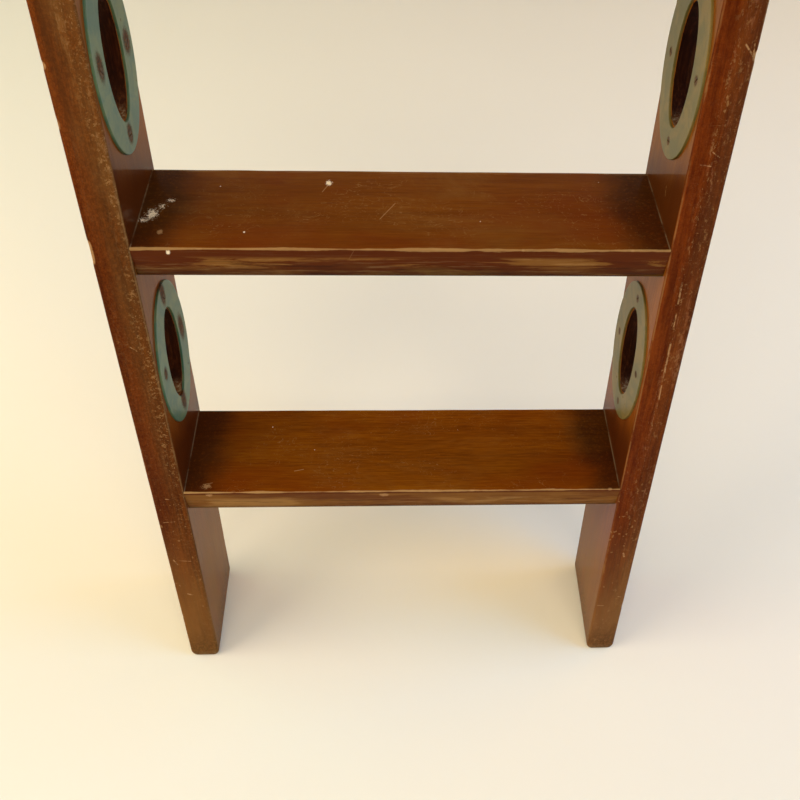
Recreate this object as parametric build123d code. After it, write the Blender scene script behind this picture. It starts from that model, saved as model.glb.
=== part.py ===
from build123d import *
import math
import os

# A ladder shelf: two leaning stiles with four treads housed and screwed between them.
# Oval hand-holds pass through the stiles between the treads, and thin oval plates trim
# them on the stiles' inner faces. Millimetres, +X to the right, +Y towards the wall, +Z up.
# The origin is on the floor, midway between the stiles and midway between the front of the
# feet and the wall.

# Overall size
clear_width = 440.0
overall_height = 1190.0
lean_angle = 12.3

# Stiles
stile_thickness = 32.0
stile_width = 112.0
stile_edge_radius = 2.0
foot_edge_radius = 5.0
top_corner_radius = 40.0
wall_cut_height = 60.0

# Treads
tread_count = 4
first_tread_height = 258.0
tread_rise = 261.0
tread_thickness = 32.0
tread_nosing_radius = 8.0
tread_edge_radius = 1.0
housing_depth = 10.0
housing_setback = 14.0

# Hand-holds and their trim plates
handhold_length = 92.0
handhold_width = 46.0
handhold_from_front = 57.0
handhold_edge_radius = 5.0
plate_length = 145.0
plate_width = 106.0
plate_thickness = 2.0
plate_edge_radius = 0.6
plate_setback = 2.0

# Countersunk screws, and the wooden plugs over the ones that hold the treads
plate_screw = {"head": 7.0, "shank": 3.5, "length": 19.0, "slot": 1.0}
tread_screw = {"head": 10.0, "shank": 5.5, "length": 63.0, "slot": 1.4}
screw_rim = 0.3
screw_point = 5.0
tread_screw_spacing = 50.0
plug_diameter = 12.7
plug_depth = 9.0

# Worked out from the sizes above
lean = math.radians(lean_angle)
stile_depth = stile_width / math.cos(lean)
overall_depth = stile_depth + (overall_height - wall_cut_height) * math.tan(lean)
wall = overall_depth / 2
inner_face = clear_width / 2
outer_face = inner_face + stile_thickness
tread_depth = stile_depth - tread_thickness * math.tan(lean)
tread_tops = [first_tread_height + tread_rise * i for i in range(tread_count)]
handhold_heights = [top + (tread_rise - tread_thickness) / 2 for top in tread_tops[:-1]]


def front_edge(height):
    """Y of the stiles' front edge at a height above the floor."""
    return height * math.tan(lean) - wall


def near_point(centre, across, along):
    """Y and Z of a point measured across and along the stile from a centre."""
    y, z = centre
    return (
        y + across * math.cos(lean) + along * math.sin(lean),
        z - across * math.sin(lean) + along * math.cos(lean),
    )


def handhold_centre(height):
    """Y and Z of a hand-hold's centre."""
    return front_edge(height) + handhold_from_front / math.cos(lean), height


def oval_slab(centre, length, width, start, thickness):
    """A slab of oval outline, long along the stile, from x = start towards +X."""
    outline = Pos(*centre) * Ellipse(width / 2, length / 2, rotation=-lean_angle)
    return extrude(Plane.YZ.offset(start) * outline, thickness)


def screw_positions(centre):
    """Where a trim plate's four screws go: in the middle of its band, at the oval's ends."""
    along = (plate_length + handhold_length) / 4
    across = (plate_width + handhold_width) / 4
    offsets = [(0, along), (across, 0), (0, -along), (-across, 0)]
    return [near_point(centre, *offset) for offset in offsets]


def tread_screw_positions(top):
    """Y and Z of a tread's screws, in the middle of its thickness."""
    middle = front_edge(top) + tread_depth / 2
    level = top - tread_thickness / 2
    half = tread_screw_spacing / 2
    return [(middle - half, level), (middle + half, level)]


def screw_blank(screw):
    """A countersunk screw with no slot. Its head's flat is at z = 0 and it points down."""
    head = screw["head"] / 2
    shank = screw["shank"] / 2
    outline = Polyline(
        (0, 0),
        (head, 0),
        (head, -screw_rim),
        (shank, -screw_rim - (head - shank)),
        (shank, screw_point - screw["length"]),
        (0, -screw["length"]),
        close=True,
    )
    return revolve(Plane.XZ * make_face(outline), Axis.Z)


def slotted(blank, screw, turn):
    """The same screw with its slot turned by an angle."""
    slot = Box(2 * screw["head"], screw["slot"], 2 * screw["slot"])
    return blank - Rot(0, 0, turn) * slot


def across_stile(shape, x, point, outwards):
    """Places a shape with its +Z along +X or -X (outwards = 1 or -1), at x and a point."""
    place = Plane(origin=(x, *point), x_dir=(0, 1, 0), z_dir=(outwards, 0, 0))
    return place * shape


def plate_screw_holes(centre):
    """The holes of a trim plate's screws, countersunk from the plate's face."""
    start = inner_face - plate_thickness
    blank = screw_blank(plate_screw)
    return [across_stile(blank, start, point, -1) for point in screw_positions(centre)]


def tread_screw_holes(top):
    """The holes of the screws at one end of a tread, countersunk from below the plugs."""
    start = outer_face - plug_depth
    blank = screw_blank(tread_screw)
    return [across_stile(blank, start, point, 1) for point in tread_screw_positions(top)]


def edges_in_plane(shape, axis, value):
    """Edges that lie wholly in the plane where the axis has this value."""
    return shape.edges().filter_by_position(axis, value, value)


def make_plate(centre):
    """A trim plate: an oval ring with rounded rims, on the stile's inner face."""
    start = inner_face - plate_thickness
    opening_length = handhold_length + 2 * plate_setback
    opening_width = handhold_width + 2 * plate_setback
    plate = oval_slab(centre, plate_length, plate_width, start, plate_thickness)
    plate -= oval_slab(centre, opening_length, opening_width, start, plate_thickness)
    plate = fillet(edges_in_plane(plate, Axis.X, start), plate_edge_radius)
    return plate - plate_screw_holes(centre)


def make_plate_screws(centre, first_turn):
    """The four screws of a trim plate, flush with its face."""
    blank = screw_blank(plate_screw)
    start = inner_face - plate_thickness
    return [
        across_stile(slotted(blank, plate_screw, first_turn + 37 * i), start, point, -1)
        for i, point in enumerate(screw_positions(centre))
    ]


def make_tread_screws(top, first_turn):
    """The two screws through the stile into one end of a tread, under their plugs."""
    blank = screw_blank(tread_screw)
    start = outer_face - plug_depth
    return [
        across_stile(slotted(blank, tread_screw, first_turn + 50 * i), start, point, 1)
        for i, point in enumerate(tread_screw_positions(top))
    ]


def make_plugs(top):
    """The plugs that cover those screws, flush with the stile's outer face."""
    plug = Cylinder(plug_diameter / 2, plug_depth, align=(Align.CENTER, Align.CENTER, Align.MAX))
    return [across_stile(plug, outer_face, point, 1) for point in tread_screw_positions(top)]


def make_tongue(top):
    """The end of a tread that sits in the stile's housing, stopped short of both edges."""
    length = tread_depth - 2 * housing_setback
    corner = (inner_face, front_edge(top) + housing_setback, top - tread_thickness)
    return Pos(*corner) * Box(housing_depth, length, tread_thickness, align=Align.MIN)


def make_tread(top):
    """A tread with a rounded lower front edge, housed and drilled at both ends."""
    front = front_edge(top)
    section = FilletPolyline(
        (front, top - tread_thickness),
        (front + tread_depth, top - tread_thickness),
        (front + tread_depth, top),
        (front, top),
        radius=[tread_nosing_radius] + [tread_edge_radius] * 3,
        close=True,
    )
    tread = extrude(Plane.YZ.offset(-inner_face) * make_face(section), clear_width)
    tongue = make_tongue(top)
    tread += [tongue, mirror(tongue, Plane.YZ)]
    for hole in tread_screw_holes(top):
        tread -= [hole, mirror(hole, Plane.YZ)]
    return tread


def make_stile():
    """The right stile, with its hand-holds, housings and screw holes."""
    outline = Polyline(
        (front_edge(0), 0),
        (front_edge(0) + stile_depth, 0),
        (wall, overall_height - wall_cut_height),
        (wall, overall_height),
        (front_edge(overall_height), overall_height),
        close=True,
    )
    side = make_face(outline)
    upper_front = side.vertices().sort_by(Axis.Y)[-2:].sort_by(Axis.X)[0]
    side = fillet(upper_front, top_corner_radius)
    stile = extrude(Plane.YZ.offset(inner_face) * side, stile_thickness)
    stile = fillet(edges_in_plane(stile, Axis.Z, 0), foot_edge_radius)
    for face in (inner_face, outer_face):
        rim = edges_in_plane(stile, Axis.X, face)
        rim = rim.filter_by_position(Axis.Z, 2 * foot_edge_radius, overall_height)
        stile = fillet(rim, stile_edge_radius)
    for height in handhold_heights:
        centre = handhold_centre(height)
        stile -= oval_slab(centre, handhold_length, handhold_width, inner_face, stile_thickness)
    outer_edges = edges_in_plane(stile, Axis.X, outer_face)
    stile = fillet(outer_edges.filter_by(GeomType.ELLIPSE), handhold_edge_radius)
    for height in handhold_heights:
        stile -= plate_screw_holes(handhold_centre(height))
    for top in tread_tops:
        stile -= [make_tongue(top), *make_plugs(top), *tread_screw_holes(top)]
    return stile


def write(name, solids):
    """Writes one node, as one solid or as a group of them."""
    shape = solids[0] if len(solids) == 1 else Compound(children=solids)
    export_step(shape, os.path.join("parts", name + ".step"))


def write_pair(name, solids):
    """Writes a node of the right-hand side and its mirror image on the left."""
    write("right_" + name, solids)
    write("left_" + name, [mirror(solid, Plane.YZ) for solid in solids])


os.makedirs("parts", exist_ok=True)
write_pair("stile", [make_stile()])
for number, top in enumerate(tread_tops, 1):
    write(f"tread_{number}", [make_tread(top)])
    write_pair(f"tread_screws_{number}", make_tread_screws(top, 25 * number))
    write_pair(f"screw_plugs_{number}", make_plugs(top))
for number, height in enumerate(handhold_heights, 1):
    centre = handhold_centre(height)
    write_pair(f"trim_plate_{number}", [make_plate(centre)])
    write_pair(f"plate_screws_{number}", make_plate_screws(centre, 60 * number))
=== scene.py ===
import math
import random

import bmesh
import bpy
from mathutils import Matrix, Vector, noise


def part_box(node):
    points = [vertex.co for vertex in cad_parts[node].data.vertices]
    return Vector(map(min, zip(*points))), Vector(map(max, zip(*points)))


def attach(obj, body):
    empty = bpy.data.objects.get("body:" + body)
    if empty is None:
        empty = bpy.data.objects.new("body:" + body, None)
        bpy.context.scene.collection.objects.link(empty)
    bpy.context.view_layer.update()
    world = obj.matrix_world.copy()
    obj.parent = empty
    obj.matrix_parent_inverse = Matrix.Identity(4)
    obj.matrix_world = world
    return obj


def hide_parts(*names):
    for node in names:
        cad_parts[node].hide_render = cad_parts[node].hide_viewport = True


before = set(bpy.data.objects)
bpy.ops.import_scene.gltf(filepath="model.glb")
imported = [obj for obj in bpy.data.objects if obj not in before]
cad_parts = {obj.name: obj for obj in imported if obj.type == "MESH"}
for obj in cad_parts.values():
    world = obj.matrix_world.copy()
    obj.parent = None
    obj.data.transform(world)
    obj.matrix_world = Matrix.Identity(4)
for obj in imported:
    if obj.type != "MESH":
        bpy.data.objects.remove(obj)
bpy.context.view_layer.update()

# The ladder shelf's looks. The planks are rebuilt with worn edges in place of the CAD stiles
# and treads; the trim plates, screws and plugs are the CAD's own, with better materials.
# Metres, in the CAD frame: +X to the right, +Y towards the wall, +Z up.

MM = 0.001

# ---- sizes, read from the frame
SIDES = {"left": -1, "right": 1}
TREADS = [f"tread_{n}" for n in range(1, 5)]
BAYS = (1, 2, 3)
first_low, first_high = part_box(TREADS[0])
last_low, last_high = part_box(TREADS[-1])
stile_low, stile_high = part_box("right_stile")
inner_face, outer_face = stile_low.x, stile_high.x
height, wall = stile_high.z, stile_high.y
slope = (last_low.y - first_low.y) / (last_high.z - first_high.z)
lean = math.atan(slope)
tread_depth = first_high.y - first_low.y
tread_thickness = first_high.z - first_low.z
stile_depth = tread_depth + tread_thickness * slope
foot_front = first_low.y - first_high.z * slope
housing_depth = first_high.x - inner_face

# ---- details the boxes don't give
STILE_ROUND = 2 * MM
FOOT_ROUND = 4.5 * MM
TOP_CORNER = 40 * MM
NOSING = 8 * MM
TREAD_ROUND = 1 * MM
HOUSING_SETBACK = 14 * MM
TONGUE_EASE = 0.2 * MM
HANDHOLD = (92 * MM, 46 * MM)
HANDHOLD_ROUND = 5 * MM
PLATE = (145 * MM, 106 * MM)
PLATE_THICKNESS = 2 * MM
RING_STEP = 1.5 * MM
# how far wear reaches from a long edge, and how much wood it rubs away at most
WEAR_REACH = 4 * MM
RUB_DEPTH = 0.3 * MM
# the lowest part of a foot is narrower and rounder
FOOT_WEAR = 9 * MM
FOOT_PINCH = 2.5 * MM
FOOT_EXTRA_ROUND = 4 * MM
SMALLEST_ROUND = 0.4 * MM
# a side of an outline has points at these distances from its ends, and evenly spaced steps between
EDGE_MARGINS = (1.2 * MM, 3.5 * MM, 8 * MM)
EVEN_STEPS = 8
# how far a cutter sticks out of the wood
PAST_THE_WOOD = 5 * MM
DENT_SEEDS = {"left": 11, "right": 29}
# a push at 45 degrees moves a point by this share on each axis
DIAGONAL = math.sqrt(0.5)

# ---- wear that has its own place
# Dents in a stile's front edges: (inner or outer edge, height, half length, depth).
STILE_DENTS = {
    "left": [("outer", 0.655, 3 * MM, 0.5 * MM), ("outer", 0.515, 12 * MM, 0.7 * MM)],
    "right": [("outer", 0.668, 4 * MM, 0.5 * MM)],
}
# Scratches on a stile: (face, start, end, width). Places are (x, z) on the front face and
# (y, z) on the inner one.
STILE_SCRATCHES = {
    "left": [
        ("front", (-0.238, 0.427), (-0.233, 0.423), 0.6 * MM),
        ("front", (-0.239, 0.250), (-0.235, 0.2495), 0.8 * MM),
        ("front", (-0.2465, 0.218), (-0.235, 0.219), 0.5 * MM),
        ("front", (-0.246, 0.163), (-0.243, 0.156), 1 * MM),
        ("front", (-0.240, 0.162), (-0.228, 0.161), 0.5 * MM),
        ("front", (-0.2465, 0.1235), (-0.2455, 0.1225), 0.7 * MM),
        ("front", (-0.2395, 0.1095), (-0.235, 0.108), 1.3 * MM),
    ],
    "right": [
        ("front", (0.2425, 0.6755), (0.2495, 0.668), 0.9 * MM),
        ("front", (0.2485, 0.6765), (0.2495, 0.668), 0.7 * MM),
        ("front", (0.229, 0.590), (0.237, 0.589), 0.6 * MM),
        ("front", (0.236, 0.600), (0.242, 0.596), 0.7 * MM),
        ("front", (0.2355, 0.490), (0.236, 0.470), 1.1 * MM),
        ("front", (0.2365, 0.460), (0.237, 0.445), 0.8 * MM),
        ("front", (0.2375, 0.430), (0.238, 0.395), 1.2 * MM),
        ("front", (0.238, 0.385), (0.2385, 0.370), 0.8 * MM),
        ("front", (0.2385, 0.165), (0.240, 0.160), 1.4 * MM),
        ("front", (0.244, 0.095), (0.247, 0.094), 0.8 * MM),
        ("front", (0.2225, 0.080), (0.229, 0.0795), 0.8 * MM),
        ("inner", (-0.0155, 0.545), (-0.019, 0.538), 0.8 * MM),
    ],
}
# Scratches on a tread: (start, end, width).
TREAD_SCRATCHES = {
    "tread_1": [
        ((-0.112, -0.098, 0.258), (-0.103, -0.096, 0.258), 0.6 * MM),
        ((-0.202, -0.114, 0.258), (-0.193, -0.112, 0.258), 0.5 * MM),
    ],
    "tread_2": [
        ((-0.020, -0.028, 0.519), (-0.007, -0.006, 0.519), 0.5 * MM),
        ((-0.070, 0.009, 0.519), (-0.065, 0.020, 0.519), 0.5 * MM),
        ((-0.041, -0.067, 0.517), (-0.045, -0.067, 0.509), 0.5 * MM),
    ],
}
# Marks on the treads: (what of, centre, size, raggedness).
TREAD_MARKS = {
    "tread_1": [
        ("rub", (-0.0205, -0.1245, 0.252), (4.5 * MM, 3 * MM, 2.4 * MM), 6 * MM),
        ("rub", (-0.1985, -0.1165, 0.258), (4 * MM, 2.6 * MM, 2 * MM), 18 * MM),
        ("rub", (-0.1955, -0.1245, 0.254), (3 * MM, 2 * MM, 2 * MM), 12 * MM),
    ],
    "tread_2": [
        ("paint", (-0.2095, -0.023, 0.519), (3.6 * MM, 6 * MM, 8 * MM), 30 * MM),
        ("paint", (-0.215, -0.031, 0.519), (3 * MM, 1.8 * MM, 5 * MM), 20 * MM),
        ("paint", (-0.2025, -0.0125, 0.519), (2 * MM, 2.4 * MM, 5 * MM), 26 * MM),
        ("paint", (-0.1965, -0.0045, 0.519), (3 * MM, 1.5 * MM, 5 * MM), 22 * MM),
        ("rub", (-0.199, -0.0465, 0.519), (2.2 * MM, 2.6 * MM, 3 * MM), 5 * MM),
        ("paint", (-0.065, 0.022, 0.519), (2.5 * MM, 3.2 * MM, 4 * MM), 12 * MM),
        ("paint", (-0.190, -0.0675, 0.515), (1.6 * MM, 2 * MM, 2 * MM), 4 * MM),
        ("paint", (-0.131, -0.046, 0.519), (0.8 * MM, 1 * MM, 1 * MM), 1 * MM),
    ],
}
# Where the varnish is rubbed off a tread's front: (middle, half length, how strongly).
RUBBED_FRONTS = {
    "tread_1": [(-0.155, 0.060, 0.22), (0.060, 0.050, 0.08)],
    "tread_2": [(-0.128, 0.056, 0.14), (0.130, 0.060, 0.14), (0.015, 0.040, 0.03)],
}


def front_edge(z):
    """Y of the stiles' front edge at a height."""
    return foot_front + z * slope


def place_on_stile(side, face, place):
    """The point for a place given as (x, z) on the front face or (y, z) on the inner one."""
    across, z = place
    if face == "front":
        return across, front_edge(z), z
    return SIDES[side] * inner_face, across, z


def along_and_across(point, centre):
    """Distances along and across the stile from a centre, both given as (y, z)."""
    dy, dz = point[0] - centre[0], point[1] - centre[1]
    along = dy * math.sin(lean) + dz * math.cos(lean)
    across = dy * math.cos(lean) - dz * math.sin(lean)
    return along, across


def from_along_across(centre, along, across):
    """The (y, z) that lies along and across the stile from a centre."""
    return (
        centre[0] + across * math.cos(lean) + along * math.sin(lean),
        centre[1] - across * math.sin(lean) + along * math.cos(lean),
    )


def plate_centre(side, bay):
    """(y, z) of a hand-hold's centre: the middle of its trim plate."""
    low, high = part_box(f"{side}_trim_plate_{bay}")
    return (low.y + high.y) / 2, (low.z + high.z) / 2


def screw_points(centre):
    """(y, z) of a trim plate's four screws: above, behind, below and in front of the hole."""
    along = (PLATE[0] + HANDHOLD[0]) / 4
    across = (PLATE[1] + HANDHOLD[1]) / 4
    offsets = [(along, 0), (0, across), (-along, 0), (0, -across)]
    return [from_along_across(centre, *offset) for offset in offsets]


# ---- mesh building
def outline(corners, radii, arc_steps=4):
    """Points round a convex outline with rounded corners, closer together near the corners."""
    count = len(corners)
    arcs = []
    for i, corner in enumerate(corners):
        before = (corners[i - 1] - corner).normalized()
        after = (corners[(i + 1) % count] - corner).normalized()
        half = before.angle(after) / 2
        reach = radii[i] / math.tan(half)
        centre = corner + (before + after).normalized() * radii[i] / math.sin(half)
        start = corner + before * reach - centre
        turn = start.angle_signed(corner + after * reach - centre)
        arcs.append([
            centre + Matrix.Rotation(-turn * k / arc_steps, 2) @ start
            for k in range(arc_steps + 1)
        ])
    points = []
    for i, arc in enumerate(arcs):
        points += arc
        a, b = arc[-1], arcs[(i + 1) % count][0]
        length = (b - a).length
        # the margins take up a quarter of a short side at each end
        parts = 4 * len(EDGE_MARGINS)
        margins = [min(m, length * (j + 1) / parts) for j, m in enumerate(EDGE_MARGINS)]
        inner = length - 2 * margins[-1]
        steps = margins + [margins[-1] + inner * k / EVEN_STEPS for k in range(1, EVEN_STEPS)]
        steps += [length - m for m in reversed(margins)]
        points += [a.lerp(b, s / length) for s in steps]
    return points


def skin(name, rings):
    """A closed mesh through rings that have the same number of points."""
    mesh = bpy.data.meshes.new(name)
    count = len(rings[0])
    points = [p for ring in rings for p in ring]
    faces = []
    for r in range(len(rings) - 1):
        base = r * count
        for i in range(count):
            j = (i + 1) % count
            faces.append((base + i, base + j, base + count + j, base + count + i))
    faces.append(tuple(reversed(range(count))))
    last = (len(rings) - 1) * count
    faces.append(tuple(range(last, last + count)))
    mesh.from_pydata(points, [], faces)
    made = bpy.data.objects.new(name, mesh)
    bpy.context.scene.collection.objects.link(made)
    tidy = bmesh.new()
    tidy.from_mesh(mesh)
    bmesh.ops.recalc_face_normals(tidy, faces=tidy.faces)
    tidy.to_mesh(mesh)
    tidy.free()
    return made


def edge_inset(distance, radius):
    """How far a rounded edge stands back at a distance from the face that it meets."""
    if distance >= radius:
        return 0.0
    return radius - math.sqrt(max(radius ** 2 - (radius - distance) ** 2, 0.0))


def stile_levels():
    """Heights of a stile's rings: close together at the rounded ends."""
    foot = [FOOT_ROUND * (1 - math.cos(math.radians(a))) for a in (0, 20, 40, 60, 75, 90)]
    arc_start = height - TOP_CORNER * (1 - math.sin(lean))
    steps = int((arc_start - FOOT_ROUND) / RING_STEP)
    body = [FOOT_ROUND + (arc_start - FOOT_ROUND) * k / steps for k in range(1, steps + 1)]
    angles = [lean + (math.pi / 2 - lean) * k / 24 for k in range(1, 25)]
    arc = [height - TOP_CORNER * (1 - math.sin(a)) for a in angles]
    return foot + body + arc


def stile_ring(z, sign):
    """One level section of a stile."""
    inset = max(edge_inset(z, FOOT_ROUND), edge_inset(height - z, STILE_ROUND))
    front = front_edge(z)
    centre_z = height - TOP_CORNER
    rise = z - centre_z
    if rise > TOP_CORNER * math.sin(lean):
        centre_y = front_edge(centre_z) + TOP_CORNER / math.cos(lean)
        front = centre_y - math.sqrt(max(TOP_CORNER ** 2 - rise ** 2, 0.0))
    back = min(front_edge(z) + stile_depth, wall)
    front, back = front + inset, back - inset
    worn = max(1 - z / FOOT_WEAR, 0.0)
    pinch = inset + FOOT_PINCH * worn ** 2
    inner, outer = inner_face + pinch, outer_face - pinch
    corners = [Vector(c) for c in ((inner, front), (outer, front), (outer, back), (inner, back))]
    radius = max(STILE_ROUND - inset, SMALLEST_ROUND) + FOOT_EXTRA_ROUND * worn
    return [(sign * p.x, p.y, z) for p in outline(corners, [radius] * 4)]


def oval_points(centre, length, width, count=96):
    """(y, z) round an oval whose long axis is along the stile."""
    points = []
    for k in range(count):
        turn = 2 * math.pi * k / count
        along, across = length / 2 * math.sin(turn), width / 2 * math.cos(turn)
        points.append(from_along_across(centre, along, across))
    return points


def handhold_cutter(centre, sign):
    """The hand-hold's hollow, flared to round its outer rim."""
    rings = [(inner_face - PAST_THE_WOOD, 0.0)]
    for a in range(0, 91, 15):
        reach = outer_face - HANDHOLD_ROUND * (1 - math.sin(math.radians(a)))
        rings.append((reach, HANDHOLD_ROUND * (1 - math.cos(math.radians(a)))))
    rings.append((outer_face + PAST_THE_WOOD, HANDHOLD_ROUND))
    shape = []
    for x, flare in rings:
        points = oval_points(centre, HANDHOLD[0] + 2 * flare, HANDHOLD[1] + 2 * flare)
        shape.append([(sign * x, y, z) for y, z in points])
    return skin("cutter", shape)


def box_cutter(low, high):
    """A box to cut away."""
    ring = [(low[0], low[1]), (high[0], low[1]), (high[0], high[1]), (low[0], high[1])]
    return skin("cutter", [[(x, y, z) for x, y in ring] for z in (low[2], high[2])])


def round_cutter(node, sign, radius):
    """Holes for the plugs of one node, which lie along X."""
    low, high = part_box(node)
    made = []
    z = (low.z + high.z) / 2
    for y in (low.y + radius, high.y - radius):
        turns = [math.radians(a) for a in range(0, 360, 10)]
        ring = [(y + radius * math.cos(t), z + radius * math.sin(t)) for t in turns]
        ends = (sign * (outer_face + 1 * MM), low.x if sign > 0 else high.x)
        made.append(skin("cutter", [[(x, b, c) for b, c in ring] for x in ends]))
    return made


def join(objects):
    """Joins objects into the first of them."""
    with bpy.context.temp_override(active_object=objects[0], selected_editable_objects=objects):
        bpy.ops.object.join()
    return objects[0]


def cut(target, cutters):
    """Cuts the cutters out of the target and removes them."""
    cutter = join(cutters)
    modifier = target.modifiers.new("cut", "BOOLEAN")
    modifier.operation = "DIFFERENCE"
    modifier.solver = "EXACT"
    modifier.object = cutter
    graph = bpy.context.evaluated_depsgraph_get()
    cut_mesh = bpy.data.meshes.new_from_object(target.evaluated_get(graph))
    target.modifiers.clear()
    target.data = cut_mesh
    bpy.data.objects.remove(cutter)


def smooth(piece, angle=32):
    """Smooth shading, with the sharp edges kept."""
    piece.data.shade_smooth()
    piece.data.set_sharp_from_angle(angle=math.radians(angle))


def random_dents(seed, count, start, end, edges, depth):
    """Random dents on long edges: (edge, place along it, half length, depth)."""
    source = random.Random(seed)
    dents = []
    for _ in range(count):
        edge, place = source.choice(edges), source.uniform(start, end)
        dents.append((edge, place, source.uniform(2.0, 6.0) * MM, source.uniform(0.3, 1.0) * depth))
    return dents


def dent_at(dents, edge, place):
    """How deep the dents are at a place on a long edge."""
    depth = 0.0
    for dent_edge, dent_place, half, dent_depth in dents:
        away = abs(place - dent_place) / half
        if dent_edge == edge and away < 1:
            depth = max(depth, dent_depth * (1 - away ** 3))
    return depth


def rub(edge, place, seed):
    """How much wood is rubbed away at a place on a long edge; it changes every few centimetres."""
    waves = noise.noise(Vector((place * 30, seed, edge * 3.1)))
    return RUB_DEPTH * max(0.3 + waves, 0.0)


def store(piece, name, values):
    """Keeps a number for each of the mesh's points."""
    piece.data.attributes.new(name, "FLOAT", "POINT").data.foreach_set("value", values)


def wear_stile(piece, sign, dents, seed):
    """Rubs and dents the stile's long edges, and keeps each point's distance from an edge."""
    arris, dented = [], []
    width = stile_depth * math.cos(lean)
    for vertex in piece.data.vertices:
        x, y, z = abs(vertex.co.x), vertex.co.y, vertex.co.z
        across = (y - front_edge(z)) * math.cos(lean)
        sides, ends = (x - inner_face, outer_face - x), (across, width - across)
        dx, dy = min(sides), min(ends)
        edge = 2 * ends.index(dy) + sides.index(dx)
        away = math.hypot(dx, dy)
        share = max(1 - away / WEAR_REACH, 0.0)
        dent = dent_at(dents, edge, z)
        amount = (dent * share + rub(edge, z, seed) * share * share) * DIAGONAL
        vertex.co.x += sign * amount * (1 if edge % 2 == 0 else -1)
        vertex.co.y += amount * (1 if edge < 2 else -1)
        arris.append(min(away, z, height - z) / MM)
        dented.append(dent * share / MM)
    store(piece, "arris", arris)
    store(piece, "dent", dented)


def make_stile(side):
    """A worn stile with its hand-holds, housings and plug holes."""
    sign = SIDES[side]
    piece = skin(f"{side}_stile_worn", [stile_ring(z, sign) for z in stile_levels()])
    cutters = [handhold_cutter(plate_centre(side, bay), sign) for bay in BAYS]
    x = sorted((sign * (inner_face - 2 * MM), sign * (inner_face + housing_depth)))
    for number, tread in enumerate(TREADS, 1):
        low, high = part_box(tread)
        front, back = low.y + HOUSING_SETBACK, high.y - HOUSING_SETBACK
        cutters.append(box_cutter((x[0], front, low.z), (x[1], back, high.z)))
        plugs = f"{side}_screw_plugs_{number}"
        low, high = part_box(plugs)
        cutters += round_cutter(plugs, sign, (high.z - low.z) / 2)
    cut(piece, cutters)
    seed = DENT_SEEDS[side]
    # the edges are numbered inner front, outer front, inner back, outer back
    dents = [(("inner", "outer").index(edge), *rest) for edge, *rest in STILE_DENTS[side]]
    dents += random_dents(seed, 6, 0.7, height - TOP_CORNER, (0, 1), 0.6 * MM)
    dents += random_dents(seed + 1, 8, 0.05, height - TOP_CORNER, (1, 2, 3), 0.4 * MM)
    wear_stile(piece, sign, dents, seed)
    smooth(piece)
    return piece


def tread_ring(low, high, x, tongue):
    """A tread's section at x. The tongue's section stands back from it all round."""
    front, back, bottom, top = low.y, high.y, low.z, high.z
    radii = [NOSING, TREAD_ROUND, TREAD_ROUND, TREAD_ROUND]
    if tongue:
        front = front + HOUSING_SETBACK + TONGUE_EASE
        back = back - HOUSING_SETBACK - TONGUE_EASE
        bottom, top = bottom + TONGUE_EASE, top - TONGUE_EASE
        radii = [TREAD_ROUND] * 4
    corners = [Vector(c) for c in ((front, bottom), (front, top), (back, top), (back, bottom))]
    return [(x, p.x, p.y) for p in outline(corners, radii, arc_steps=5)]


def wear_tread(piece, low, high, dents, seed):
    """Rubs and dents a tread's front edges, and keeps each point's distance from an edge."""
    arris, dented = [], []
    for vertex in piece.data.vertices:
        x, y, z = vertex.co
        ends, levels = (y - low.y, high.y - y), (high.z - z, z - low.z)
        dy, dz = min(ends), min(levels)
        edge = 2 * ends.index(dy) + levels.index(dz)
        away = math.hypot(dy, dz)
        between_stiles = abs(x) < inner_face - 0.5 * MM
        share = max(1 - away / WEAR_REACH, 0.0) if between_stiles else 0.0
        dent = dent_at(dents, edge, x)
        amount = (dent * share + rub(edge, x, seed) * share * share) * DIAGONAL
        vertex.co.y += amount * (1 if edge < 2 else -1)
        vertex.co.z += amount * (-1 if edge % 2 == 0 else 1)
        # the nosing is rounded away from its edge, so it's measured along its faces
        arris.append((away if edge != 1 else max(dy, dz)) / MM)
        dented.append(dent * share / MM)
    store(piece, "arris", arris)
    store(piece, "dent", dented)


def make_tread(name, seed):
    """A worn tread with its tongues."""
    low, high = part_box(name)
    steps = int(2 * inner_face / RING_STEP)
    places = [-inner_face + 2 * inner_face * k / steps for k in range(steps + 1)]
    ends = (low.x + TONGUE_EASE, high.x - TONGUE_EASE)
    rings = [tread_ring(low, high, x, True) for x in (ends[0], -inner_face)]
    rings += [tread_ring(low, high, x, False) for x in places]
    rings += [tread_ring(low, high, x, True) for x in (inner_face, ends[1])]
    piece = skin(f"{name}_worn", rings)
    # the edges are numbered upper front, lower front, upper back, lower back
    dents = random_dents(seed, 7, -inner_face, inner_face, (0, 0, 3), 0.5 * MM)
    wear_tread(piece, low, high, dents, seed)
    smooth(piece)
    return piece


# ---- shader nodes
def linear(red, green, blue):
    """A colour given in 0 to 255 display values, as the shader's linear numbers."""
    shares = [value / 255 for value in (red, green, blue)]
    curve = [s / 12.92 if s <= 0.04045 else ((s + 0.055) / 1.055) ** 2.4 for s in shares]
    return (*curve, 1)


def put(socket, value):
    """Links a socket to another one, or sets its value."""
    if isinstance(value, bpy.types.NodeSocket):
        socket.id_data.links.new(value, socket)
    else:
        socket.default_value = value


def node(kind, inputs, **settings):
    """Adds a node of a kind to its linked inputs' tree. Inputs go by number or name."""
    linked = [value for value in inputs.values() if isinstance(value, bpy.types.NodeSocket)]
    made = linked[0].id_data.nodes.new("ShaderNode" + kind)
    for key, value in settings.items():
        setattr(made, key, value)
    for key, value in inputs.items():
        put(made.inputs[key], value)
    return made


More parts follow.
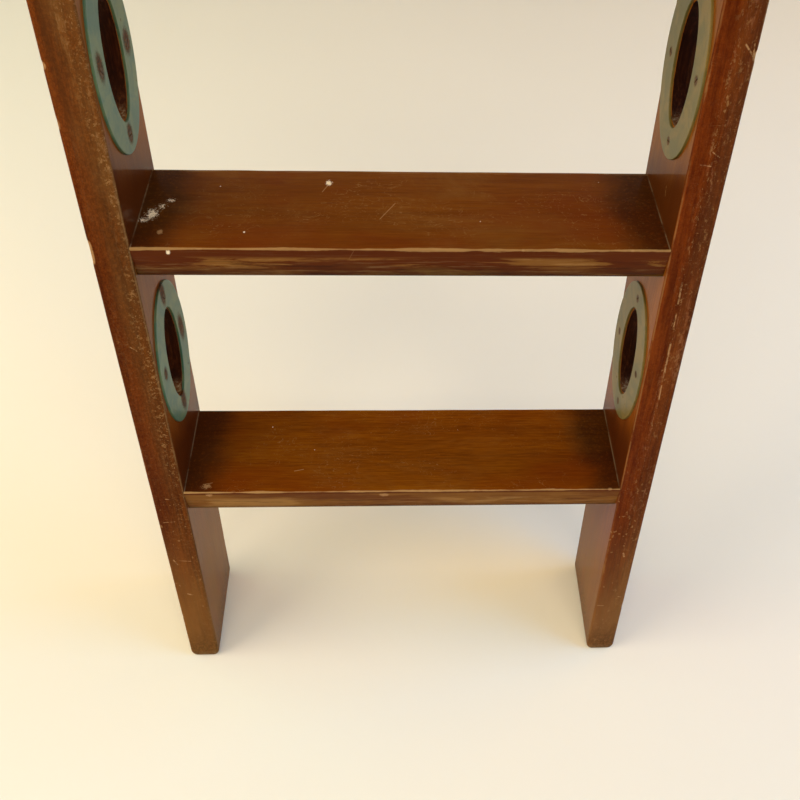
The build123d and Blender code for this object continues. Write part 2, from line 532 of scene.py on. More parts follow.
# numbers and masks
def calculate(operation, a, b=0, c=0, clamp=False):
    """A Math node's result."""
    return node("Math", {0: a, 1: b, 2: c}, operation=operation, use_clamp=clamp).outputs[0]


def scaled(value, scale, offset=0):
    """A value times a number, plus another."""
    return calculate("MULTIPLY_ADD", value, scale, offset)


def distance(value, centre=0):
    """How far a value is from a centre."""
    return calculate("ABSOLUTE", calculate("SUBTRACT", value, centre))


def both(*masks):
    """Masks multiplied together."""
    result = masks[0]
    for mask in masks[1:]:
        result = calculate("MULTIPLY", result, mask)
    return result


def either(*masks):
    """The larger of some masks."""
    result = masks[0]
    for mask in masks[1:]:
        result = calculate("MAXIMUM", result, mask)
    return result


def ramp(value, start, end, low=0, high=1):
    """Goes smoothly from low to high as a value goes from start to end."""
    inputs = {"Value": value, "From Min": start, "From Max": end, "To Min": low, "To Max": high}
    return node("MapRange", inputs, interpolation_type="SMOOTHSTEP").outputs["Result"]


def mix(share, a, b):
    """Two colours mixed. Each is a node's or has 0 to 255 display values."""
    a, b = [linear(*colour) if isinstance(colour, tuple) else colour for colour in (a, b)]
    return node("Mix", {0: share, 6: a, 7: b}, data_type="RGBA").outputs[2]


def vector(operation, a, b=(0, 0, 0), result="Vector"):
    """A Vector Math node's result."""
    return node("VectorMath", {0: a, 1: b}, operation=operation).outputs[result]


def axes(point):
    """A vector's three numbers."""
    return node("SeparateXYZ", {"Vector": point}).outputs


# coordinates
def stretched(point, stretch, seed):
    """Coordinates scaled on each axis, and moved by a seed."""
    moved = (seed, seed * 1.7, seed * 2.3)
    return node("Mapping", {"Vector": point, "Location": moved, "Scale": stretch}).outputs[0]


def up_the_stile(place, stretch=(1, 1, 1), seed=0):
    """Coordinates turned so that the third runs up the stile, along its grain."""
    turned = node("VectorRotate", {"Vector": place, "Angle": lean}, rotation_type="X_AXIS")
    return stretched(turned.outputs[0], stretch, seed)


def along_the_tread(place, stretch=(1, 1, 1), seed=0):
    """Coordinates turned so that the third runs along the tread, along its grain."""
    x, y, z = axes(place)
    turned = node("CombineXYZ", {0: y, 1: z, 2: x})
    return stretched(turned.outputs[0], stretch, seed)


# patterns
def fractal(point, scale=1, detail=3, rough=0.6, warp=0, result="Fac"):
    """Fractal noise from 0 to 1."""
    inputs = {"Vector": point, "Scale": scale, "Detail": detail}
    inputs.update({"Roughness": rough, "Distortion": warp})
    return node("TexNoise", inputs).outputs[result]


def hairs(point, width, warp=1.5):
    """Thin wandering lines."""
    level = fractal(point, detail=2, rough=0.4, warp=warp)
    return ramp(distance(level, 0.5), width, width * 0.3)


def cracks(point, width):
    """The thin gaps between irregular cells."""
    edge = node("TexVoronoi", {"Vector": point, "Scale": 1}, feature="DISTANCE_TO_EDGE")
    return ramp(edge.outputs["Distance"], width, width * 0.2)


def spot(place, centre, size, ragged, soft=0.3):
    """A ragged patch round a point; size and ragged are in metres."""
    wobble = fractal(place, 560, detail=6, rough=0.8, result="Color")
    shift = vector("MULTIPLY", vector("SUBTRACT", wobble, (0.5,) * 3), (ragged,) * 3)
    away = vector("SUBTRACT", vector("ADD", place, shift), centre)
    away = vector("MULTIPLY", away, [1 / s for s in size])
    return ramp(vector("LENGTH", away, result="Value"), 1 + soft, 1 - soft)


def stroke(place, start, end, width):
    """A scratch from one point to another."""
    span = Vector(end) - Vector(start)
    offset = vector("SUBTRACT", place, start)
    share = vector("DOT_PRODUCT", offset, span / span.length_squared, result="Value")
    share = calculate("ADD", share, 0, clamp=True)
    nearest = node("VectorMath", {0: span, "Scale": share}, operation="SCALE").outputs[0]
    away = vector("LENGTH", vector("SUBTRACT", offset, nearest), result="Value")
    return ramp(away, width, width * 0.3)


def bump(height, depth=0.25 * MM, strength=0.8):
    """A normal from a height."""
    inputs = {"Height": height, "Distance": depth, "Strength": strength}
    return node("Bump", inputs).outputs[0]


class Shade:
    """A material: its shader, the place on the object and the way that the surface faces."""

    def __init__(self, name):
        self.material = bpy.data.materials.new(name)
        self.material.use_nodes = True
        self.tree = self.material.node_tree
        self.shader = self.tree.nodes["Principled BSDF"]
        self.place = self.tree.nodes.new("ShaderNodeTexCoord").outputs["Object"]
        self.facing = self.tree.nodes.new("ShaderNodeNewGeometry").outputs["Normal"]

    def named(self, attribute):
        """A number that the mesh holds for each of its points."""
        made = self.tree.nodes.new("ShaderNodeAttribute")
        made.attribute_name = attribute
        return made.outputs["Fac"]

    def set(self, **inputs):
        """Sets the shader's inputs; an underscore stands for a space."""
        for key, value in inputs.items():
            put(self.shader.inputs[key.replace("_", " ")], value)


# ---- materials
# Colours are in 0 to 255 display values.
BARE_TAN = (150, 112, 70)
BARE_PALE = (190, 150, 104)
FLECK = (164, 124, 78)
DUST = (158, 138, 112)
OLD_PAINT = (250, 236, 212)
SOOT = (34, 17, 9)
# the dark of a painted reflection of a tread, and painted shade, on a stile's inner face above it
PAINTED_TREAD_REFLECTION = (66, 25, 7)

# Each stile's colours: its grain's dark, middle and light tones, the aged sides' two tones low
# down and high up, the varnish worn brown, the scuffs and the dull foot.
STILE_COLOURS = {
    "left": {
        "grain": ((50, 18, 4), (94, 44, 9), (124, 66, 19)),
        "low sides": ((102, 48, 10), (130, 64, 15)),
        "high sides": ((122, 64, 14), (150, 84, 22)),
        "worn": (114, 78, 40),
        "scuff": BARE_TAN,
        "foot": (130, 90, 46),
    },
    "right": {
        "grain": ((58, 18, 4), (103, 44, 10), (128, 66, 20)),
        "low sides": ((112, 54, 11), (142, 72, 16)),
        "high sides": ((126, 72, 14), (152, 92, 22)),
        "worn": (104, 64, 36),
        "scuff": (158, 106, 72),
        "foot": (130, 92, 54),
    },
}
WARM_GRAIN = ((80, 36, 3), (120, 64, 6), (144, 86, 14))
COOL_GRAIN = ((76, 36, 6), (114, 62, 12), (134, 82, 24))
PLATE_COLOURS = {"left": ((94, 112, 78), (64, 98, 78)), "right": ((120, 100, 50), (96, 88, 46))}


class Wood(Shade):
    """Varnished wood, built up in layers over its grain."""

    coordinates = staticmethod(up_the_stile)

    def __init__(self, name, seed):
        super().__init__(name)
        self.seed = seed
        self.worn = []

    def along(self, stretch, offset):
        """Coordinates stretched along the grain; the offset tells one pattern from another."""
        return self.coordinates(self.place, stretch, self.seed + offset)

    def pattern(self, stretch, offset, **settings):
        """Fractal noise stretched along the grain."""
        return fractal(self.along(stretch, offset), **settings)

    def lay(self, colour, *masks):
        """Mixes a colour over the wood's colour so far, where all the masks are."""
        self.colour = mix(both(*masks), self.colour, colour)

    def grain(self, tones, figure=1, pore_depth=1):
        """Lays the wood's figure and pores, each as strong as it says."""
        dark, middle, light = tones
        cloud = self.pattern((13, 13, 3.2), 0)
        streak = self.pattern((120, 120, 3.6), 3, detail=4, warp=0.3)
        fine = self.pattern((560, 560, 36), 5, detail=4, rough=0.7)
        level = scaled(cloud, 0.28, scaled(streak, 0.26))
        level = scaled(fine, 0.46, level)
        self.level = scaled(calculate("SUBTRACT", level, 0.5), figure, 0.5)
        pores = ramp(self.pattern((1100, 1100, 32), 9, detail=2, rough=0.5), 0.58, 0.68)
        self.pores = both(pores, pore_depth)
        self.colour = mix(ramp(self.level, 0.36, 0.56), dark, middle)
        self.lay(light, ramp(self.level, 0.50, 0.68))
        self.lay(dark, self.pores, 0.35)

    def finish(self, varnish, coat_roughness):
        """Sets the shader for varnished wood; the varnish is thin or gone where it is worn."""
        bare = either(*self.worn)
        rough = scaled(bare, 0.2, scaled(self.level, 0.25, 0.3))
        height = scaled(self.pores, -0.5, scaled(self.level, 0.35))
        height = scaled(bare, -0.6, height)
        left = calculate("MULTIPLY_ADD", bare, -0.85, 1, clamp=True)
        self.set(
            Base_Color=self.colour,
            Roughness=rough,
            Normal=bump(height),
            Coat_Weight=both(varnish, left),
            Coat_Roughness=coat_roughness,
            Coat_IOR=1.5,
            IOR=1.5,
            Specular_IOR_Level=0.02,
        )
        return self.material


class StileWood(Wood):
    """Old varnished wood with its grain up the stile, worn, flecked and scuffed on its front."""

    def __init__(self, side):
        super().__init__(f"{side}_stile_wood", 2 if side == "left" else 17)
        self.side = side
        self.colours = STILE_COLOURS[side]
        x, across, _ = axes(up_the_stile(self.place))
        self.z = axes(self.place)[2]
        # millimetres from the inner face and from the front face
        self.from_inner = scaled(distance(x), 1000, -1000 * inner_face)
        self.from_front = scaled(across, 1000, -1000 * foot_front * math.cos(lean))
        self.front = ramp(self.from_front, 3, 1.2)
        self.side_on = ramp(self.from_front, 1.2, 3)
        # millimetres from the inner face, with a wandering border
        self.wander = self.pattern((30, 30, 9), 70)
        self.zone = scaled(self.wander, 16, calculate("ADD", self.from_inner, -8))
        self.mottle = self.pattern((360, 360, 270), 50, detail=4, rough=0.75)
        self.cloud = self.pattern((26, 26, 6), 20, detail=4, rough=0.65)
        self.edge_noise = self.pattern((150, 150, 50), 30, detail=4, rough=0.7)

    def pick(self, left, right):
        """The left stile's value or the right one's."""
        return left if self.side == "left" else right

    def age_sides(self):
        """The sides are smooth and aged. Just above each tread the inner face carries a painted
        reflection of the tread and painted shade.
        """
        faint = ramp(self.level, 0.465, 0.535)
        lower = mix(faint, *self.colours["low sides"])
        upper = mix(faint, *self.colours["high sides"])
        aged = mix(ramp(self.z, 0.20, 0.58), lower, upper)
        self.lay(aged, self.side_on, 0.75)
        ragged_z = scaled(self.wander, -0.04, self.z)
        ragged_z = scaled(self.from_front, 0.0005, ragged_z)
        on_inner = both(self.side_on, ramp(self.from_inner, 2, 0.5))
        for name in TREADS:
            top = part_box(name)[1].z
            low_down = ramp(ragged_z, top + 0.075, top + 0.025)
            above = ramp(self.z, top - 0.006, top - 0.001)
            # painted reflection of the tread, and painted shade, on the inner face just above it
            self.lay(PAINTED_TREAD_REFLECTION, on_inner, low_down, above, 0.85)

    def craze_front(self):
        """The front's varnish is mottled, streaked and crazed, and redder on one side."""
        dark, _, light = self.colours["grain"]
        calmer = ramp(self.z, 0.10, 0.40, 0.35)
        mottled = mix(ramp(self.mottle, 0.38, 0.62), dark, light)
        self.lay(mottled, self.front, calmer, self.pick(0.45, 0.25))
        streaks = self.pattern((95, 95, 5), 52, detail=5, warp=0.4)
        self.lay(dark, ramp(streaks, 0.52, 0.36), self.front, 0.5)
        self.lay(light, ramp(streaks, 0.50, 0.66), self.front, 0.4)
        redder = ramp(self.zone, *self.pick((10, 24), (24, 8)))
        redder = both(redder, self.front, ramp(streaks, 0.3, 0.6, 0.4))
        self.lay((116, 44, 8), redder, 0.35)
        blotch = ramp(self.pattern((60, 60, 14), 54, detail=4, rough=0.65), 0.50, 0.70)
        self.lay(dark, blotch, self.front, 0.4)
        crazing = cracks(self.along((430, 430, 270), 57), 0.12)
        self.lay(SOOT, crazing, self.front, calmer, self.pick(0.3, 0.1))
        if self.side == "left":
            middle = both(ramp(self.z, 0.62, 0.45), ramp(self.z, 0.10, 0.26))
            self.lay((46, 12, 2), middle, self.front, 0.16)

    def wear_brown(self, high_up):
        """The varnish is worn to brown, more widely at the left stile's top."""
        worn = both(self.front, ramp(self.cloud, 0.35, 0.62, 0.3))
        if self.side == "left":
            wider = scaled(ramp(self.z, 0.50, 0.66), -9, self.zone)
            worn = both(worn, ramp(wider, 26, 12), high_up, 0.65)
        else:
            worn = both(worn, ramp(self.zone, 12, 26), 0.3)
        self.lay(self.colours["worn"], worn)

    def scuff_front(self):
        """Scuffs run up the stile's front, with pale flecks and hairs among them."""
        high_up = ramp(self.z, 0.30, 0.62, 0.25)
        if self.side == "left":
            scuffed = both(ramp(self.zone, 21, 9, 0.3), high_up)
            flecked = ramp(self.zone, 14, 6, 0.12, 0.85)
        else:
            band = ramp(distance(self.from_inner, 17), 5, 1.5)
            scuffed = either(ramp(self.zone, 12, 22, 0, 0.6), band)
            flecked = either(ramp(self.zone, 9, 18, 0.08, 0.6), band)
        self.wear_brown(high_up)
        patchy = both(self.front, ramp(self.cloud, 0.38, 0.58, 0.25))
        broken = ramp(self.pattern((300, 300, 150), 46, rough=0.7), 0.42, 0.60)
        scuffs = self.pattern((150, 150, 11), 60, detail=5, rough=0.7, warp=0.6)
        scuffs = both(ramp(scuffs, 0.50, 0.66), broken, scuffed, patchy)
        self.lay(self.colours["scuff"], scuffs, 0.7)

        flecks = self.pattern((250, 250, self.pick(330, 120)), 40, detail=5, rough=0.8)
        flecks = ramp(flecks, *self.pick((0.55, 0.60), (0.56, 0.62)))
        specks = ramp(self.pattern((480, 480, 400), 44, detail=2), 0.65, 0.69)
        flecks = both(either(flecks, specks), flecked, patchy)
        side_specks = both(specks, self.side_on, ramp(self.cloud, 0.60, 0.72), 0.5)
        lines = hairs(self.along((22, 22, 120), 12), 0.004)
        lines = both(lines, self.front, ramp(self.cloud, 0.52, 0.66), 0.35)
        nicks = ramp(self.pattern((210, 210, 160), 48, detail=2, rough=0.5), 0.66, 0.71)
        nicks = both(nicks, self.front, ramp(self.z, 0.34, 0.20), 0.5)
        pale = both(flecks, self.pick(0.75, 0.5))
        self.lay(FLECK, either(pale, side_specks, lines, nicks))
        self.worn += [flecks, both(scuffs, 0.5)]

    def rub_edges(self):
        """The long edges are rubbed here and there, and the dents show bare wood. A painted
        highlight runs along the inner front edge partway up.
        """
        stretch = self.pattern((8, 8, 5), 33)
        reach = scaled(self.edge_noise, 4, -1.2)
        rubbed = ramp(calculate("SUBTRACT", self.named("arris"), reach), 0.5, -0.5)
        rubbed = both(rubbed, ramp(stretch, 0.47, 0.60, 0.12))
        # a painted highlight along the inner front edge, laid with the rubbed wood
        painted_arris_highlight = both(ramp(self.from_inner, 1.6, 0.7), ramp(self.from_front, 1.6, 0.9))
        painted_arris_highlight = both(painted_arris_highlight, ramp(self.z, 0.60, 0.53), ramp(self.z, 0.20, 0.30, 0.2))
        painted_arris_highlight = both(painted_arris_highlight, ramp(self.edge_noise, 0.38, 0.52, 0.2))
        rubbed = either(rubbed, painted_arris_highlight)
        dents = both(ramp(self.named("dent"), 0.10, 0.30), ramp(self.mottle, 0.25, 0.5, 0.3))
        self.lay(BARE_TAN, rubbed, 0.5)
        self.lay(BARE_PALE, dents, 0.6)
        self.worn += [rubbed, dents]

    def dull_foot(self):
        """The foot is duller, and dusty and soiled at its very end."""
        foot = both(ramp(self.z, 0.24, 0.07), ramp(self.cloud, 0.30, 0.60, 0.55))
        self.lay(self.colours["foot"], foot, 0.75)
        sole = both(ramp(self.z, 0.011, 0.004), ramp(self.edge_noise, 0.35, 0.6))
        self.lay((140, 120, 88), sole, 0.5)
        soiled = both(ramp(self.z, 0.055, 0.012), ramp(self.mottle, 0.36, 0.60))
        self.lay((56, 40, 22), soiled, 0.5)
        self.worn.append(both(foot, 0.5))

    def scratch(self):
        """The scratches that have their own places."""
        for face, start, end, width in STILE_SCRATCHES[self.side]:
            ends = [place_on_stile(self.side, face, place) for place in (start, end)]
            scratch = both(stroke(self.place, *ends, width), ramp(self.mottle, 0.42, 0.56, 0.15))
            self.lay(BARE_PALE, scratch, 0.6)
            self.worn.append(scratch)

    def build(self):
        """The finished material. The varnish is glossiest low down on the inner face."""
        plain = ramp(self.side_on, 0, 1)
        self.grain(self.colours["grain"], scaled(plain, -0.7, 1), scaled(plain, -0.6, 1))
        self.age_sides()
        self.craze_front()
        self.scuff_front()
        self.rub_edges()
        self.dull_foot()
        self.scratch()
        gloss = ramp(self.z, 0.25, 0.60, 0.36, self.pick(0.16, 0.19))
        glossy = both(self.side_on, gloss, ramp(self.from_inner, 18, 30, 1, 0.4))
        return self.finish(calculate("ADD", glossy, 0.03), coat_roughness=0.08)


def handhold_wood():
    """The hand-holds' walls: wood painted dark for the shade inside the holes, with painted light
    from above and dust where they face up.
    """
    wood = Wood("handhold_wood", 40)
    # dark tones: painted shade inside the holes
    wood.grain(((18, 6, 2), (42, 15, 5), (72, 36, 14)))
    speckle = fractal(wood.place, 420, detail=4, rough=0.75)
    facing_up_lit = ramp(axes(wood.facing)[2], 0.72, 1)
    # painted light from above on the walls that face up
    wood.lay((98, 56, 24), facing_up_lit, 0.6)
    dust = both(facing_up_lit, ramp(speckle, 0.46, 0.62))
    wood.lay(DUST, dust, 0.45)
    wood.worn.append(dust)
    return wood.finish(0.1, coat_roughness=0.3)


def paint_drops(seed, count, low, high):
    """Random small drops of paint on a tread's top, like TREAD_MARKS."""
    source = random.Random(seed)
    drops = []
    for _ in range(count):
        centre = (source.uniform(-0.19, 0.19), source.uniform(low.y + 0.01, high.y - 0.01), high.z)
        radius = source.uniform(0.2, 0.6) * MM
        drops.append(("paint", centre, (radius,) * 3, radius))
    return drops


class TreadWood(Wood):
    """Old varnished wood with its grain along the tread, scuffed on top, rubbed on its front."""

    coordinates = staticmethod(along_the_tread)

    def __init__(self, number, name):
        super().__init__(f"{name}_wood", 4 + 9 * number)
        self.number, self.name = number, name
        self.warm = number % 2 == 1
        self.low, self.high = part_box(name)
        self.x, y, z = axes(self.place)
        # millimetres below the top, behind the front and in from the end
        self.below_top = scaled(calculate("SUBTRACT", self.high.z, z), 1000)
        self.from_front = scaled(calculate("SUBTRACT", y, self.low.y), 1000)
        self.from_end = calculate("SUBTRACT", inner_face, distance(self.x))
        self.from_end = scaled(self.from_end, 1000)
        self.top = ramp(self.below_top, 1, 0.4)
        self.front = both(ramp(self.from_front, 9, 5), ramp(self.below_top, 0.2, 0.8))
        self.patches = self.pattern((40, 40, 7), 33, detail=5, rough=0.65)
        self.cloud = self.pattern((19, 19, 10), 20, detail=5, rough=0.65, warp=0.5)

    def pick(self, warm, cool):
        """A warm tread's value or a cool one's."""
        return warm if self.warm else cool

    def scuff_top(self):
        """The top has cloudy varnish, ruddy patches and fine scratches."""
        smear = self.pattern((15, 15, 8), 25, detail=6, rough=0.7, warp=1)
        smear = both(ramp(smear, 0.46, 0.72), self.top)
        self.lay((134, 96, 50), smear, self.pick(0.18, 0.26))
        ruddy = self.pattern((9, 9, 5), 27, detail=4)
        ruddy = scaled(ramp(self.from_front, 62, 14), 0.10, ruddy)
        ruddy = scaled(ramp(self.from_end, 90, 20), 0.07, ruddy)
        self.lay((104, 38, 4), ramp(ruddy, 0.50, 0.70), self.top, 0.5)
        lines = hairs(self.along((50, 50, 34), 6), self.pick(0.005, 0.008), warp=3)
        lines = both(lines, self.top, ramp(self.cloud, 0.44, 0.58))
        specks = ramp(self.pattern((400, 400, 300), 4, detail=2), 0.66, 0.72)
        specks = both(specks, ramp(self.cloud, 0.45, 0.62))
        self.lay(BARE_TAN, either(lines, specks), 0.45)
        self.worn += [specks, both(smear, 0.4)]

    def soil_ends(self):
        """Dirt and a painted reflection of the dark stile lie in the top's end corners; dust and a
        painted highlight lie in the joint with the stile.
        """
        reach = scaled(self.cloud, -52, self.from_end)
        reach = scaled(ramp(self.from_front, 16, 62), -12, reach)
        gritty = fractal(self.place, 330, detail=4, rough=0.7)
        # dirt, and a painted reflection of the dark stile, in the top's end corners
        dirt_and_stile_reflection = both(self.top, ramp(reach, 20, -16), ramp(gritty, 0.3, 0.5, 0.55))
        self.lay(SOOT, dirt_and_stile_reflection, 0.72)
        # dust, and a painted highlight, along the joint with the stile
        joint_dust_and_highlight = both(self.top, ramp(self.from_end, 1.5, 0.5))
        self.lay(DUST, joint_dust_and_highlight, ramp(self.patches, 0.40, 0.6, 0.15), 0.4)
        self.worn.append(both(dirt_and_stile_reflection, 0.5))

    def rub_front(self):
        """The front is dark below its top edge, and rubbed to tan in patches lower down."""
        streaks = self.pattern((110, 110, 9), 37, detail=6, rough=0.7, warp=0.5)
        for centre, half, strength in RUBBED_FRONTS.get(self.name, []):
            near = ramp(distance(self.x, centre), half, 0.4 * half)
            streaks = scaled(near, strength, streaks)
        if self.warm:
            rubbed = both(self.front, ramp(self.below_top, 2, 5))
            rubbed = both(rubbed, ramp(self.patches, 0.36, 0.60, 0.3))
            palest = both(self.front, ramp(streaks, 0.56, 0.72), ramp(self.below_top, 8, 14))
        else:
            rubbed = both(self.front, ramp(streaks, 0.53, 0.63), ramp(self.below_top, 7, 11))
            rubbed = both(rubbed, ramp(self.below_top, 22, 16, 0.35))
            palest = both(rubbed, ramp(streaks, 0.66, 0.76))
        self.lay((76, 27, 4), self.front, 0.82)
        self.lay((134, 92, 44), rubbed, 0.75)
        self.lay((166, 126, 74), palest, 0.5)
        self.worn.append(both(rubbed, 0.7))

    def scratch_front(self):
        """The lowest part is dull, with olive patches and fine lengthwise scratches."""
        lowest = both(ramp(self.below_top, self.pick(21, 13), 27), ramp(self.from_front, 12, 8))
        self.lay((52, 34, 16), lowest, 0.45)
        self.lay((112, 88, 42), lowest, ramp(self.patches, 0.48, 0.60), 0.5)
        scratchy = self.pattern((420, 420, 20), 41, detail=5, rough=0.7)
        lower_half = both(self.front, ramp(self.below_top, 8, 18, 0.25))
        self.lay((140, 110, 72), ramp(scratchy, 0.54, 0.66), lower_half, 0.35)
        self.lay(SOOT, ramp(scratchy, 0.46, 0.36), lower_half, 0.5)

    def rub_edges(self):
        """Bare wood shows along the edges and in the dents."""
        edge_noise = self.pattern((130, 130, 22), 30, detail=4, rough=0.7)
        stretch = self.pattern((10, 10, 9), 35)
        reach = scaled(edge_noise, *self.pick((3.6, -0.6), (7, -1.1)))
        reach = both(reach, ramp(stretch, 0.40, 0.60, 0.5, 1.2))
        edge = ramp(calculate("SUBTRACT", self.named("arris"), reach), 0.4, -0.4)
        edge = both(edge, ramp(self.from_front, 30, 12, 0.25), ramp(self.below_top, 24, 14, 0.3))
        dents = ramp(self.named("dent"), 0.16, 0.40)
        bare_edge = mix(edge_noise, BARE_TAN, (206, 166, 108))
        self.lay(bare_edge, edge, self.pick(0.7, 0.58))
        self.lay(BARE_PALE, dents, 0.4)
        self.worn += [edge, dents]

    def mark(self):
        """The scratches and marks that have their own places, and a few drops of paint."""
        for start, end, width in TREAD_SCRATCHES.get(self.name, []):
            scratch = stroke(self.place, start, end, width)
            self.lay(BARE_PALE, scratch, 0.45)
            self.worn.append(scratch)
        drops = paint_drops(self.number, 3, self.low, self.high)
        for kind, centre, size, ragged in TREAD_MARKS.get(self.name, []) + drops:
            mark = spot(self.place, centre, size, ragged)
            share, colour = (0.9, OLD_PAINT) if kind == "paint" else (0.5, BARE_PALE)
            self.lay(colour, mark, share)
            self.worn.append(mark)

    def build(self):
        """The finished material. The varnish is glossier on top than on the front."""
        self.grain(self.pick(WARM_GRAIN, COOL_GRAIN), self.pick(0.65, 0.41), self.pick(0.7, 0.49))
        self.scuff_top()
        self.soil_ends()
        self.rub_front()
        self.scratch_front()
        self.rub_edges()
        self.mark()
        return self.finish(ramp(self.front, 0, 1, 0.36, 0.10), coat_roughness=0.14)


def plug_wood():
    """The plugs over the tread screws: wood with its grain up the stile."""
    wood = Wood("screw_plug_wood", 61)
    wood.grain(((46, 18, 6), (88, 42, 14), (116, 66, 28)))
    wood.worn.append(wood.pores)
    return wood.finish(0.5, coat_roughness=0.14)


def rust_stains(shade, side):
    """A mask of the rust round the trim plates' screws, wider and longer on the left."""
    left = side == "left"
    source = random.Random(5 if left else 6)
    stains = []
    for bay in BAYS:
        for y, z in screw_points(plate_centre(side, bay)):
            spread = source.uniform(4.5, 8.5) if left else source.uniform(2.6, 3.8)
            rise = spread * source.uniform(1.1, 1.9) if left else spread
            centre = (SIDES[side] * (inner_face - PLATE_THICKNESS / 2), y, z + (rise - spread) * MM)
            size = (0.02, spread * MM, rise * MM)
            stains.append(spot(shade.place, centre, size, 1.6 * spread * MM, soft=0.4))
    return either(*stains)


def plate_paint(side):
    """Thick old paint on the trim plates, with rust round the screws and chips."""
    shade = Shade(f"{side}_plate_paint")
    seed = 3 if side == "left" else 8
    place = up_the_stile(shade.place, seed=seed)
    mottle = fractal(place, 38, detail=5, warp=0.8)
    fine = fractal(place, 600, detail=3)
    colour = mix(ramp(mottle, 0.36, 0.62), *PLATE_COLOURS[side])
    colour = mix(both(ramp(fine, 0.5, 0.75), 0.25), colour, (70, 66, 48))
    chips = fractal(up_the_stile(shade.place, seed=seed + 2), 130, rough=0.7)
    chips = ramp(chips, 0.68, 0.72)
    colour = mix(both(chips, 0.7), colour, (84, 58, 34))
    stain = rust_stains(shade, side)
    rust = mix(ramp(fine, 0.4, 0.65), (44, 20, 6), (104, 56, 18))
    colour = mix(both(stain, ramp(fine, 0.28, 0.50, 0.70)), colour, rust)
    spoiled = either(stain, chips)
    height = scaled(mottle, 0.5, scaled(fine, 0.25))
    height = scaled(spoiled, -0.8, height)
    shade.set(
        Base_Color=colour,
        Roughness=scaled(spoiled, 0.3, 0.42),
        Normal=bump(height, 0.2 * MM, 0.6),
        Specular_IOR_Level=0.2,
        Coat_Weight=calculate("MULTIPLY_ADD", spoiled, -0.1, 0.1, clamp=True),
        Coat_Roughness=0.2,
    )
    return shade.material


def old_metal(name, tones, metallic, roughness):
    """Screw metal, brown with rust or dull with tarnish."""
    shade = Shade(name)
    blotch = fractal(shade.place, 420, detail=4, rough=0.7)
    fine = fractal(shade.place, 2600, detail=2)
    shade.set(
        Base_Color=mix(ramp(blotch, 0.38, 0.62), *tones),
        Metallic=ramp(blotch, 0.62, 0.38, 0, metallic),
        Roughness=ramp(blotch, 0.3, 0.7, roughness, 0.8),
        Normal=bump(scaled(fine, 0.5, blotch), 0.1 * MM, 0.7),
    )
    return shade.material


# ---- the pieces
# a face is a hand-hold's wall when it lies within this many times the hole's half axes
BORE_MARGIN = 1.02


def give(piece, materials):
    """Replaces a piece's materials."""
    piece.data.materials.clear()
    for material in materials:
        piece.data.materials.append(material)


def mark_bores(piece):
    """Gives the faces of the hand-holds' walls the second material."""
    centres = [plate_centre("right", bay) for bay in BAYS]
    for face in piece.data.polygons:
        _, y, z = face.center
        for centre in centres:
            along, across = along_and_across((y, z), centre)
            if math.hypot(along / HANDHOLD[0], across / HANDHOLD[1]) * 2 < BORE_MARGIN:
                face.material_index = 1


handhold_walls = handhold_wood()
for side in SIDES:
    stile = make_stile(side)
    give(stile, [StileWood(side).build(), handhold_walls])
    mark_bores(stile)
    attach(stile, "root")
    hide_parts(f"{side}_stile")

for number, name in enumerate(TREADS, 1):
    tread = make_tread(name, seed=50 + 7 * number)
    give(tread, [TreadWood(number, name).build()])
    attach(tread, "root")
    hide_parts(name)

screw_steel = old_metal("screw_steel", ((58, 33, 10), (100, 64, 26)), 0.2, 0.6)
screw_brass = old_metal("screw_brass", ((150, 112, 58), (110, 82, 48)), 0.9, 0.3)
finishes = {"tread_screws": screw_brass, "plate_screws": screw_steel, "screw_plugs": plug_wood()}
for side in SIDES:
    finishes[f"{side}_trim_plate"] = plate_paint(side)
for name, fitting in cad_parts.items():
    for part, material in finishes.items():
        if part in name:
            for holder in fitting.material_slots:
                holder.material = material

# ---- floor, light and camera
FLOOR_RADIUS = 4.0
FLOOR_CURVE = 1.5
SWEEP_HEIGHT = 3.2
LAMP_TARGET = (0, 0.2, 0.4)
# Lamps: (name, place, size, watts for red, green and blue).
LAMPS = [
    ("window", (-2.4, -0.6, 1.9), (2.2, 2.2), (59, 50, 36)),
    ("window_back", (-2.4, 0.7, 1.5), (2.0, 2.0), (10, 17, 12)),
    ("fill", (2.4, -0.2, 1.7), (2.0, 2.0), (3, 23, 50)),
    ("fill_back", (2.4, 0.8, 1.4), (2.0, 2.0), (21, 11, 0)),
    ("ceiling_front", (0, -1.6, 3.0), (2.4, 1.6), (49, 41, 27)),
    ("ceiling_back", (0, 0.8, 3.0), (2.4, 1.6), (10, 3, 0)),
]
ROOM_COLOUR = (1.0, 0.95, 0.88, 1)
ROOM_STRENGTH = 0.01
# The camera's place, its turns in degrees (about the upright, down, about its axis), and its lens,
# whose shifts stand for a picture cropped off centre.
CAMERA_X = -0.0042
CAMERA_FROM_WALL = 0.8037
CAMERA_HEIGHT = 0.9740
CAMERA_TURNS = (-4.345, 51.514, -3.069)
FOCAL_LENGTH = 38.84
SENSOR_WIDTH = 36.0
LENS_SHIFT = (-0.0509, 0.0470)


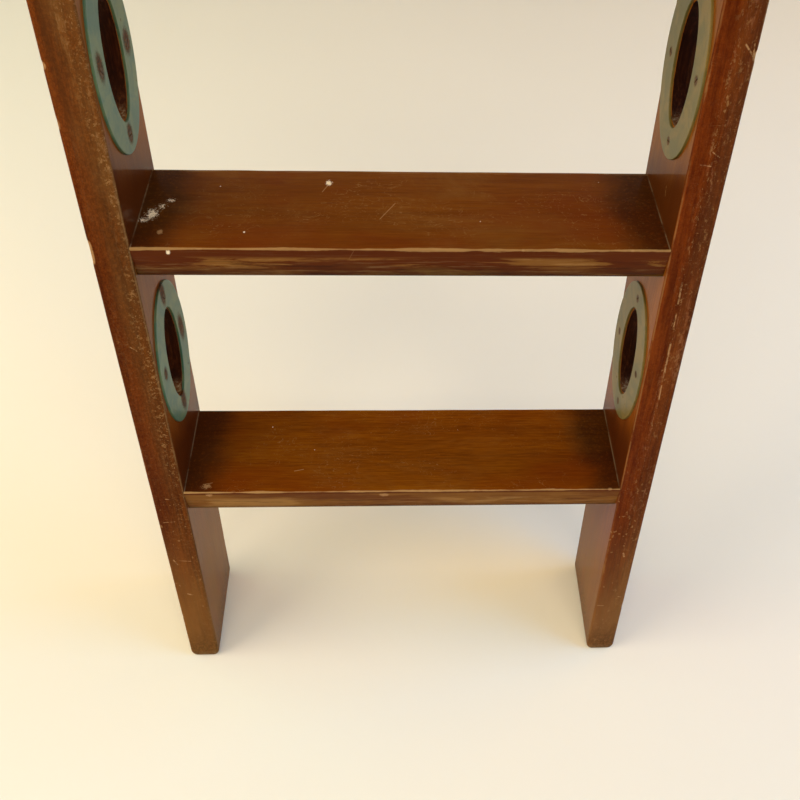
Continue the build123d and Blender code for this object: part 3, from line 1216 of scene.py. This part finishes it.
def make_floor():
    """A pale round floor that curves up into a wall far away."""
    profile = [(radius, 0.0) for radius in (0.02, 1.0, 2.0, FLOOR_RADIUS - FLOOR_CURVE)]
    for a in range(10, 91, 10):
        reach = FLOOR_RADIUS - FLOOR_CURVE * (1 - math.sin(math.radians(a)))
        profile.append((reach, FLOOR_CURVE * (1 - math.cos(math.radians(a)))))
    profile.append((FLOOR_RADIUS, SWEEP_HEIGHT))
    rings = []
    turns = [math.radians(a) for a in range(0, 360, 5)]
    for radius, z in profile:
        rings.append([(radius * math.cos(t), radius * math.sin(t), z) for t in turns])
    floor = skin("floor", rings)
    tidy = bmesh.new()
    tidy.from_mesh(floor.data)
    lid = [f for f in tidy.faces if len(f.verts) > 4 and f.calc_center_median().z > 1]
    bmesh.ops.delete(tidy, geom=lid, context="FACES")
    for face in tidy.faces:
        face.smooth = True
    tidy.to_mesh(floor.data)
    tidy.free()
    shade = Shade("paper")
    tint = fractal(shade.place, 1.2, detail=2.0)
    colour = mix(tint, (240, 236, 228), (244, 240, 233))
    shade.set(Base_Color=colour, Roughness=0.75)
    give(floor, [shade.material])


def make_lamp(name, place, target, size, watts):
    """A soft rectangular lamp that the camera doesn't see. watts are for red, green and blue."""
    light = bpy.data.lights.new(name, "AREA")
    light.shape = "RECTANGLE"
    light.size, light.size_y = size
    light.energy = max(watts)
    light.color = [w / max(watts) for w in watts]
    lamp = bpy.data.objects.new(name, light)
    lamp.location = place
    lamp.rotation_euler = (Vector(target) - Vector(place)).to_track_quat("-Z", "Y").to_euler()
    lamp.visible_camera = False
    bpy.context.scene.collection.objects.link(lamp)


def make_camera():
    """The camera, which looks down at the lower half of the ladder."""
    right, down, forward = Vector((1, 0, 0)), Vector((0, 0, -1)), Vector((0, 1, 0))
    yaw, pitch, roll = (math.radians(a) for a in CAMERA_TURNS)
    turn = Matrix.Rotation(yaw, 3, "Z")
    right, down, forward = turn @ right, turn @ down, turn @ forward
    turn = Matrix.Rotation(-pitch, 3, right)
    down, forward = turn @ down, turn @ forward
    turn = Matrix.Rotation(roll, 3, forward)
    right, down = turn @ right, turn @ down
    lens = bpy.data.cameras.new("camera")
    lens.lens = FOCAL_LENGTH
    lens.sensor_width = SENSOR_WIDTH
    lens.shift_x, lens.shift_y = LENS_SHIFT
    camera = bpy.data.objects.new("camera", lens)
    facing = Matrix((right, -down, -forward)).transposed().to_4x4()
    place = (CAMERA_X, wall - CAMERA_FROM_WALL, CAMERA_HEIGHT)
    camera.matrix_world = Matrix.Translation(place) @ facing
    bpy.context.scene.collection.objects.link(camera)
    bpy.context.scene.camera = camera


def make_room():
    """A faint even light from all round."""
    room = bpy.data.worlds.new("room")
    room.use_nodes = True
    background = room.node_tree.nodes["Background"]
    background.inputs["Color"].default_value = ROOM_COLOUR
    background.inputs["Strength"].default_value = ROOM_STRENGTH
    bpy.context.scene.world = room


make_floor()
for name, place, size, watts in LAMPS:
    make_lamp(name, place, LAMP_TARGET, size, watts)
make_room()
bpy.context.scene.view_settings.view_transform = "Standard"
make_camera()
